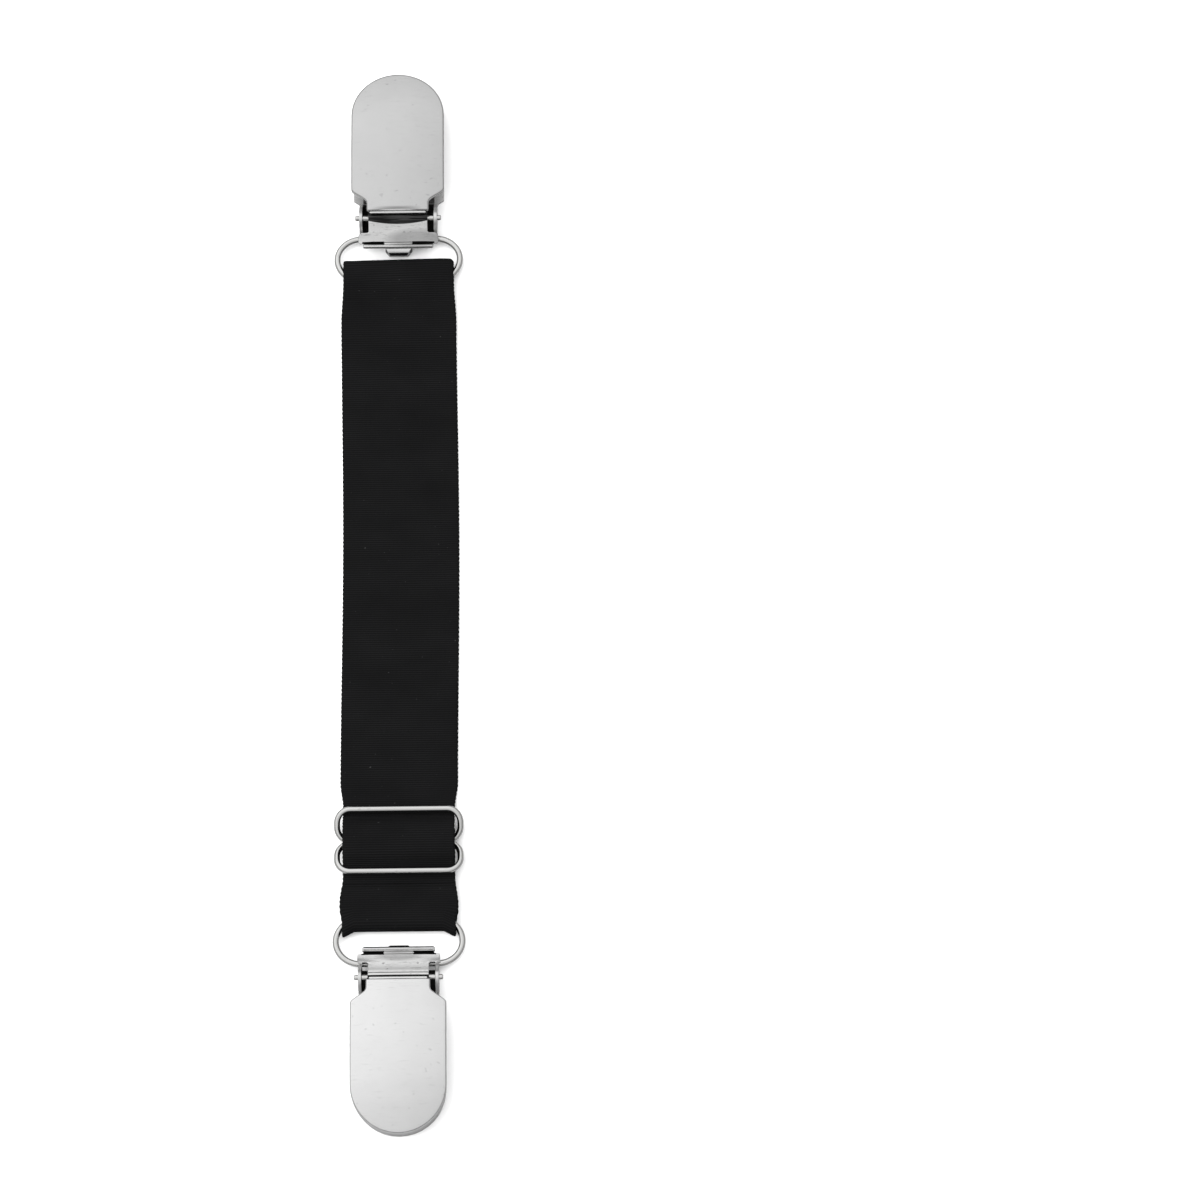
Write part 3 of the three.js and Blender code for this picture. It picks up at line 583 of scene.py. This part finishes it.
def bent_strip(line, half_width, thickness=SHEET, radius=SHEET_ROUND):
    """Sheet metal strip: a rounded bar section carried along a (v, z) line, its ends rounded."""
    _, up = side_normals(line)
    share, out, level, rise = bar_section(radius)
    inset = np.zeros(len(line))
    ease = radius * (1 - np.sin(np.linspace(0.1, 0.5 * math.pi, 4)))
    inset[:4], inset[-4:] = ease, ease[::-1]
    width = (half_width - inset)[:, None]
    x = share * (width - radius) + out
    lift = level * (0.5 * thickness - radius - inset[:, None]) + rise
    return x, line[:, :1] + up[:, :1] * lift, line[:, 1:] + up[:, 1:] * lift


def on_clip(x, v, z, sign):
    """Grid of points whose v is their distance from the pin, outward along the clip."""
    return np.stack([x, sign * (PIN_Y + v), z], axis=2)


def wing_droop(x, v):
    """How far the shoulders bend down: grows with |x| past 5.2 and along the lever past 2.4."""
    return WING_DROOP * smooth(5.2, 8.5, np.abs(x)) * smooth(2.4, 4.4, -v)


def lever_half(v):
    """Half width along the lever: neck, round-cornered shoulders, bridge between slots, lip."""
    turn = np.linspace(0.0, 0.5 * math.pi, 8)
    cosine, sine = np.cos(turn), np.sin(turn)
    shoulder = zip(SHOULDER_V - SHOULDER_ROUND * (1 - cosine),
                   SHOULDER_HALF - SHOULDER_ROUND * (1 - sine))
    toe = zip(TOE_V + TOE_ROUND * (1 - sine), SHOULDER_HALF - TOE_ROUND * (1 - cosine))
    rows = [(2.0, NECK_HALF), (-2.85, NECK_HALF), (-3.1, NECK_HALF + 0.25), *shoulder, *toe,
            (-5.26, BRIDGE_HALF + 0.8), (-5.34, BRIDGE_HALF), (-5.62, BRIDGE_HALF),
            (-5.63, LIP_HALF - 0.3), (-5.8, LIP_HALF), (-6.2, LIP_HALF),
            (-6.5, LIP_HALF - 0.15), (-6.68, LIP_HALF - 0.5), (-6.78, LIP_HALF - 0.9)]
    rows = np.array(sorted(rows))
    return np.interp(v, rows[:, 0], rows[:, 1]), rows[:, 0]


# The arm's centre line (v, z), with a station wherever its width changes
arm = np.array([(0.3, PIN_Z + 0.98), (-0.72, PIN_Z + 0.88), (-2.17, PIN_Z + 0.03),
                (-3.53, PIN_Z - 0.6), (-4.84, PIN_Z - 1.28), (-5.35, LEVER_FLAT_Z - 0.1),
                (-5.75, LEVER_FLAT_Z + 0.03), (-6.05, LEVER_FLAT_Z + 0.42 * LIP_RISE),
                (-6.5, LEVER_FLAT_Z + 0.82 * LIP_RISE)])
arm, _ = even_steps(rounded(arm, 3), 0.1)
_, steps = lever_half(arm[:, 0])
extra = steps[(steps < arm[0, 0]) & (steps > arm[-1, 0])]
stations = np.unique(np.concatenate([-arm[:, 0], -extra]))
arm = np.column_stack([-stations, np.interp(stations, -arm[:, 0], arm[:, 1])])
arm_half, _ = lever_half(arm[:, 0])
arm_x, arm_v, arm_z = bent_strip(arm, arm_half)
arm_z = arm_z - wing_droop(arm_x, arm_v) * (arm_v > WINGS_END_V)
# Dark sheets that stand in for the shadow under the slots
shadow_sheet_line, _ = even_steps(np.array(SHADOW_SHEET_LINE), 0.1)
shadow_sheet_x, shadow_sheet_v, shadow_sheet_z = bent_strip(shadow_sheet_line, np.full(len(shadow_sheet_line), SHADOW_SHEET_HALF),
                                          SHADOW_SHEET_THICK, SHADOW_SHEET_ROUND)

turn = np.linspace(0.0, 2 * math.pi, 48, endpoint=False)
cam_radius = CAM_RADIUS + CAM_LOBE * (0.5 + 0.5 * np.cos(turn + math.pi / 6)) ** 2
cam_x = np.concatenate([[-NECK_HALF, -NECK_HALF + 0.05],
                        np.linspace(-NECK_HALF + 0.2, NECK_HALF - 0.2, 15),
                        [NECK_HALF - 0.05, NECK_HALF]])
cam_shrink = np.concatenate([[0.2, 0.06], np.zeros(15), [0.06, 0.2]])
cam_r = cam_radius[None, :] - cam_shrink[:, None]
for end, sign in ENDS:
    lever_material, tree, shader, finish = plated(
        f"{end}_lever_metal", PLATE_BRIGHT, LEVER_SHADE, 0.15, 1.0, 0.6)
    place, place_x, place_v, _ = clip_place(tree, sign, (0.0, PIN_Y, PIN_Z))
    # Painted dark reflection: the cam is painted near black with paler streaks, over more of it on
    # the top clip
    bow = product(tree, place_x, place_x, CAM_DARK_BOW[end])
    edge = math_node(tree, "SUBTRACT", place_v, math_node(tree, "ADD", bow, CAM_DARK_TO[end]))
    rolled = graded(tree, edge, -0.05, 0.05)
    away = math_node(tree, "ABSOLUTE", place_x)
    # Painted shadow: the slots, the dark sheets in them and the crease beside them are painted near
    # black
    within_lip = graded(tree, away, *SLOT_TO_X, 1.0, 0.0)
    from_slot = math_node(tree, "ABSOLUTE", math_node(tree, "SUBTRACT", place_v, SLOT_V))
    from_crease = math_node(tree, "ABSOLUTE", math_node(tree, "SUBTRACT", place_v, CREASE_V))
    slot = product(tree, math_node(tree, "LESS_THAN", from_slot, SLOT_DEPTH),
                   graded(tree, away, *SLOT_FROM_X), within_lip)
    crease = product(tree, math_node(tree, "LESS_THAN", from_crease, CREASE_DEPTH), within_lip)
    slot_and_crease_shadow = math_node(tree, "MAXIMUM", slot, crease)
    dark = math_node(tree, "MAXIMUM", rolled, slot_and_crease_shadow)
    stretch = add(tree, "Mapping", {"Vector": place}, {"Scale": (0.12, 2.4, 1.5)})
    reflection_streaks = graded(tree, noise(tree, stretch.outputs[0], 1.6, 4.0), 0.45, 0.75)
    cam_dark_reflection = mixed(tree, reflection_streaks, CAM_PAINTED_DARK, CAM_REFLECTION_STREAK[end])
    # Painted shade: a soft patch of the plate is painted duller, larger and off to one side on the
    # top clip
    middle_x, middle_v, half_x, half_v, strength = PAINTED_SHADE_PATCH[end]
    off_x = math_node(tree, "MULTIPLY_ADD", place_x, 1 / half_x, -middle_x / half_x)
    off_v = math_node(tree, "MULTIPLY_ADD", place_v, 1 / half_v, -middle_v / half_v)
    off = math_node(tree, "ADD", product(tree, off_x, off_x), product(tree, off_v, off_v))
    with_painted_shade = mixed(tree, graded(tree, off, 0.35, 1.02, strength, 0.0),
                   finish.outputs["Color"], PATCH_SHADE_TONE)
    wear_and_painted_shade = mixed(tree, dark, with_painted_shade, cam_dark_reflection)
    tree.links.new(mixed(tree, slot_and_crease_shadow, wear_and_painted_shade, SLOT_PAINTED_SHADOW), shader.inputs["Base Color"])
    rough = math_node(tree, "MULTIPLY_ADD", dark, 0.2, finish.outputs["Roughness"])
    tree.links.new(rough, shader.inputs["Roughness"])

    arm_grid = on_clip(arm_x, arm_v, arm_z, sign)
    cam_grid = turned(cam_x, cam_r, turn, 0.0, PIN_Z, sign)
    # The dark sheets under the slots stand in for the shadow there
    shadow_sheets = [on_clip(shadow_sheet_x + middle, shadow_sheet_v, shadow_sheet_z, sign)
               for middle in (-SHADOW_SHEET_X, SHADOW_SHEET_X)]
    lever = surface(f"{end}_cam_lever",
                    [(grid, "caps") for grid in (arm_grid, cam_grid, *shadow_sheets)],
                    lever_material, f"{end}_clip_lever", 40.0)
    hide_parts(f"{end}_lever")

# --- Front plates ----------------------------------------------------------------------------
# The front jaw of each clip, drawn from polished plated sheet: a crowned shield with a turned
# rim, its neck end rolled into a hem and bent down behind the cam to a foot on the base plate.
SHIELD_HALF, SHIELD_NECK, NECK_START, NECK_CORNER = 10.05, 6.7, 0.8, 0.3
SIDE_START, SIDE_END, SHIELD_LENGTH, NECK_TOP = 6.3, 22.9, 32.95, 8.58
ARCH, TIP_FALL, CROWN = 0.62, 3.2, 0.9
RIM_ROUND, NECK_RIM, SIDE_RIM, TIP_RIM_Z = 0.35, 0.75, 1.2, 3.3
NECK_DIP, DIP_HALF = {"top": 0.6, "bottom": 0.1}, 5.6
# Painted shade: the top shield's tone is darker than the bottom one's, though both are the same
# metal
SHIELD_SHADED_TONE = {"top": 0.665, "bottom": 0.885}
SPINE_START, SHOULDER_DONE = 2.6, 5.5
WALL_HALF, WALL_V, WALL_TOP_Z, FOOT_Z = 6.0, 2.5, 7.95, 1.02
HEM_V, HEM_Z, HEM_RADIUS, HEM_HALF = 0.54, 7.64, 0.26, 6.1
# The face's arch and fall, as shares of ARCH and TIP_FALL, at shares of its length
FACE_AT = [0.0, 0.17, 0.3, 0.42, 0.55, 0.68, 0.8, 0.91, 1.0]
FACE_ARCH = [0.0, 0.5, 0.87, 1.0, 1.0, 1.0, 1.0, 1.0, 1.0]
FACE_FALL = [0.0, 0.0, 0.0, 0.0, 0.03, 0.145, 0.375, 0.69, 1.0]
BLUR = 15

fine_at = np.linspace(0.0, 1.0, 201)
kernel = np.hanning(2 * BLUR + 1) / np.hanning(2 * BLUR + 1).sum()


def smoothed(values):
    """A profile blurred over a sixth of its length, turned about its ends so that they stay."""
    fine = np.interp(fine_at, FACE_AT, values)
    before, after = 2 * fine[0] - fine[BLUR:0:-1], 2 * fine[-1] - fine[-2:-BLUR - 2:-1]
    return np.convolve(np.concatenate([before, fine, after]), kernel, mode="valid")


face_arch, face_fall = smoothed(FACE_ARCH), smoothed(FACE_FALL)


def shield_top(x, v, dip):
    """Height of the shield's face: the neck's, plus its arch, less the fall, crown and neck dip."""
    at = v / SHIELD_LENGTH
    rise = ARCH * np.interp(at, fine_at, face_arch) - TIP_FALL * np.interp(at, fine_at, face_fall)
    end_dip = dip * (1 - smooth(0.7, 1.75, v)) * np.clip(1 - (x / DIP_HALF) ** 2, 0.0, 1.0)
    return NECK_TOP + rise - CROWN * (x / SHIELD_HALF) ** 2 - end_dip


def shield_outline():
    """Plan (x, v) of half the shield, from the middle of the neck end round to the tip."""
    turn = np.linspace(0.0, 0.5 * math.pi, 33)
    corner = np.linspace(0.0, 0.5 * math.pi, 6)
    neck = np.column_stack([np.linspace(0.0, SHIELD_NECK - 0.4, 13), np.full(13, NECK_START)])
    bend = np.column_stack([SHIELD_NECK - NECK_CORNER * (1 - np.sin(corner)),
                            NECK_START + NECK_CORNER * (1 - np.cos(corner))])
    shoulder = [[SHIELD_NECK, 2.0], [SHIELD_NECK, 3.0], [7.4, 3.65], [9.3, 4.85],
                [SHIELD_HALF, 5.5]]
    side = np.column_stack([np.full(29, SHIELD_HALF), np.linspace(SIDE_START, SIDE_END, 29)])
    tip = np.column_stack([SHIELD_HALF * np.cos(turn), SIDE_END + SHIELD_HALF * np.sin(turn)])
    return np.concatenate([neck, bend, shoulder, side, tip[1:]])


half_plan, _ = even_steps(rounded(shield_outline(), 2), 0.35)
plan = np.concatenate([half_plan, (half_plan * [-1, 1])[-2:0:-1]])
next_step = np.roll(plan, -1, axis=0) - np.roll(plan, 1, axis=0)
next_step /= np.linalg.norm(next_step, axis=1, keepdims=True)
inward = np.stack([-next_step[:, 1], next_step[:, 0]], axis=1)
spine = np.stack([0 * plan[:, 0], np.clip(plan[:, 1], SPINE_START, SIDE_END)], axis=1)


def shield_shell(dip):
    """Rings of the shield's grid: out over the face, round the rim, down, under and back inside.

    Each ring follows the plan. On the face it lies at a share of the way from the spine to the
    plan, and on the rim it is set in from the plan by an amount.
    """
    rings = []

    def ring(place, z):
        rings.append(np.column_stack([place, z]))

    near = plan + RIM_ROUND * inward
    for share in np.linspace(0.0, 1.0, 22):
        place = spine + (near - spine) * share
        ring(place, shield_top(*place.T, dip))
    for bend in np.linspace(0.0, 0.5 * math.pi, 8)[1:]:
        place = plan + RIM_ROUND * (1 - math.sin(bend)) * inward
        ring(place, shield_top(*place.T, dip) - RIM_ROUND * (1 - math.cos(bend)))
    past_neck = smooth(SPINE_START, SHOULDER_DONE, plan[:, 1])
    side_low = shield_top(*plan.T, dip) - NECK_RIM - (SIDE_RIM - NECK_RIM) * past_neck
    at_tip = smooth(SIDE_END - 0.1 * SHIELD_HALF, SIDE_END + 0.7 * SHIELD_HALF, plan[:, 1])
    rim_low = side_low + (TIP_RIM_Z - side_low) * at_tip
    for inset, lift in ((0.0, 0.1), (0.1, 0.0), (SHEET - 0.02, 0.0), (SHEET, 0.01)):
        ring(plan + inset * inward, rim_low + lift)
    inner = plan + SHEET * inward
    ring(inner, np.maximum(shield_top(*inner.T, dip) - SHEET - 0.2, rim_low + 0.02))
    for share in np.linspace(0.97, 0.0, 8):
        place = spine + (inner - spine) * share
        ring(place, shield_top(*place.T, dip) - SHEET)
    return np.stack(rings)


# The rolled hem at the neck and the wall down to the foot
wall_line = np.array([(0.95, WALL_TOP_Z), (2.2, WALL_TOP_Z), (WALL_V, 7.6), (WALL_V, 6.0),
                      (WALL_V, 3.5), (WALL_V, FOOT_Z)])
wall_line, _ = even_steps(rounded(wall_line, 3), 0.2)
wall_x, wall_v, wall_z = bent_strip(wall_line, np.full(len(wall_line), WALL_HALF))
hem_turn = np.linspace(0.0, 2 * math.pi, 20, endpoint=False)
hem_x = np.concatenate([[-HEM_HALF, -HEM_HALF + 0.1], np.linspace(-5.8, 5.8, 15),
                        [HEM_HALF - 0.1, HEM_HALF]])
hem_r = HEM_RADIUS - np.concatenate([[0.16, 0.04], np.zeros(15), [0.04, 0.16]])[:, None]
for end, sign in ENDS:
    tone = SHIELD_SHADED_TONE[end]
    shield_material, *_ = plated(f"{end}_shield_polish", (tone,) * 3, (0.8 * tone,) * 3,
                                 0.13, 0.35, 0.3)
    shell = shield_shell(NECK_DIP[end])
    shield = surface(f"{end}_shield", [(on_clip(*np.moveaxis(shell, 2, 0), sign), "open")],
                     shield_material, f"{end}_jaw", 30.0, merge=0.001)
    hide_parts(f"{end}_front_plate")
    hem_material, *_ = plated(f"{end}_hem_polish", (0.95,) * 3, (0.75,) * 3, 0.1, 0.2, 0.2)
    wall_grid = on_clip(wall_x, wall_v, wall_z, sign)
    hem_grid = turned(hem_x, hem_r, hem_turn, HEM_V, HEM_Z, sign)
    surface(f"{end}_hem_and_wall", [(wall_grid, "caps"), (hem_grid, "caps")], hem_material,
            f"{end}_jaw", 30.0)

# --- Table, light and camera -----------------------------------------------------------------
# A pale table and a white light tent, a little darker on the right and near the horizon, and
# the long lens that looks down from 15 degrees off the vertical with both stays' room in view.
CAMERA_DISTANCE, CAMERA_TILT, CAMERA_ROLL = 1.12, math.radians(15.0), math.radians(-0.62)
LENS, SENSOR, AIM = 157.26, 36.0, (0.0429, -0.0012, 0.0)
TABLE_HALF, TABLE_PALE, TABLE_PALER = 12.0, (0.86, 0.86, 0.86), (0.89, 0.89, 0.89)
# The table as the metal mirrors it: a painted darker reflection
TABLE_MIRRORED = (0.26, 0.26, 0.26)
# The tent's grey at heights from the horizon (0) to straight up (1)
TENT_LEVELS = [(0.001, 0.03), (0.12, 0.06), (0.24, 0.26), (0.36, 0.52), (0.5, 0.68),
               (0.75, 0.80), (0.999, 0.87)]
TENT_LEAN_X, TENT_LEAN_Y = -0.3, 0.3

floor_material, tree, shader = new_material("pale_table")
where = add(tree, "TexCoord")
grain = noise(tree, where.outputs["Object"], 60.0, 3.0)
pale = mixed(tree, grain, TABLE_PALE, TABLE_PALER)
path = add(tree, "LightPath")
seen = mixed(tree, path.outputs["Is Glossy Ray"], pale, TABLE_MIRRORED)
tree.links.new(seen, shader.inputs["Base Color"])
shader.inputs["Roughness"].default_value = 0.9
shader.inputs["Specular IOR Level"].default_value = 0.1
floor_mesh = bpy.data.meshes.new("table_top")
floor_corners = [(x * TABLE_HALF, y * TABLE_HALF, 0.0)
                 for x, y in ((-1, -1), (1, -1), (1, 1), (-1, 1))]
floor_mesh.from_pydata(floor_corners, [], [(0, 1, 2, 3)])
floor_mesh.materials.append(floor_material)
floor = bpy.data.objects.new("table_top", floor_mesh)
bpy.context.scene.collection.objects.link(floor)

world = bpy.data.worlds.new("light_tent")
bpy.context.scene.world = world
world.use_nodes = True
tree = world.node_tree
sky = tree.nodes["Background"]
where = add(tree, "TexCoord")
part = add(tree, "SeparateXYZ", {0: where.outputs["Generated"]})
tent = add(tree, "ValToRGB", {0: part.outputs[2]})
for at, level in TENT_LEVELS:
    stop = tent.color_ramp.elements.new(at)
    stop.color = (level, level, level, 1.0)
for spare in (tent.color_ramp.elements[-1], tent.color_ramp.elements[0]):
    tent.color_ramp.elements.remove(spare)
lean = math_node(tree, "MULTIPLY_ADD", part.outputs[0], TENT_LEAN_X, 1.0)
lean = math_node(tree, "MULTIPLY_ADD", part.outputs[1], TENT_LEAN_Y, lean)
shade = add(tree, "VectorMath", {0: tent.outputs[0]}, operation="SCALE")
tree.links.new(lean, shade.inputs["Scale"])
tree.links.new(shade.outputs[0], sky.inputs["Color"])
sky.inputs["Strength"].default_value = 1.0


def panel(name, place, size, watts):
    """A square soft light at a place, facing the stay, that the metal doesn't mirror."""
    light = bpy.data.lights.new(name, "AREA")
    light.shape, light.size, light.energy = "SQUARE", size, watts
    lamp = bpy.data.objects.new(name, light)
    lamp.location = place
    lamp.visible_glossy = False
    away = np.array(place) / np.linalg.norm(place)
    turn_z = math.atan2(away[1], away[0]) + 0.5 * math.pi
    lamp.rotation_euler = (math.acos(away[2]), 0.0, turn_z)
    bpy.context.scene.collection.objects.link(lamp)


panel("overhead_panel", (-0.3, 0.1, 1.6), 2.4, 60.0)
panel("left_panel", (-1.1, -0.25, 0.9), 0.5, 4.0)

camera_data = bpy.data.cameras.new("camera")
camera_data.lens, camera_data.sensor_width = LENS, SENSOR
camera_data.clip_start, camera_data.clip_end = 0.05, 20.0
camera = bpy.data.objects.new("camera", camera_data)
camera.location = (AIM[0], AIM[1] - CAMERA_DISTANCE * math.sin(CAMERA_TILT),
                   CAMERA_DISTANCE * math.cos(CAMERA_TILT))
tilted = Matrix.Rotation(CAMERA_TILT, 3, "X") @ Matrix.Rotation(CAMERA_ROLL, 3, "Z")
camera.rotation_euler = tilted.to_euler()
bpy.context.scene.collection.objects.link(camera)
bpy.context.scene.camera = camera

bpy.context.scene.view_settings.view_transform = "Standard"
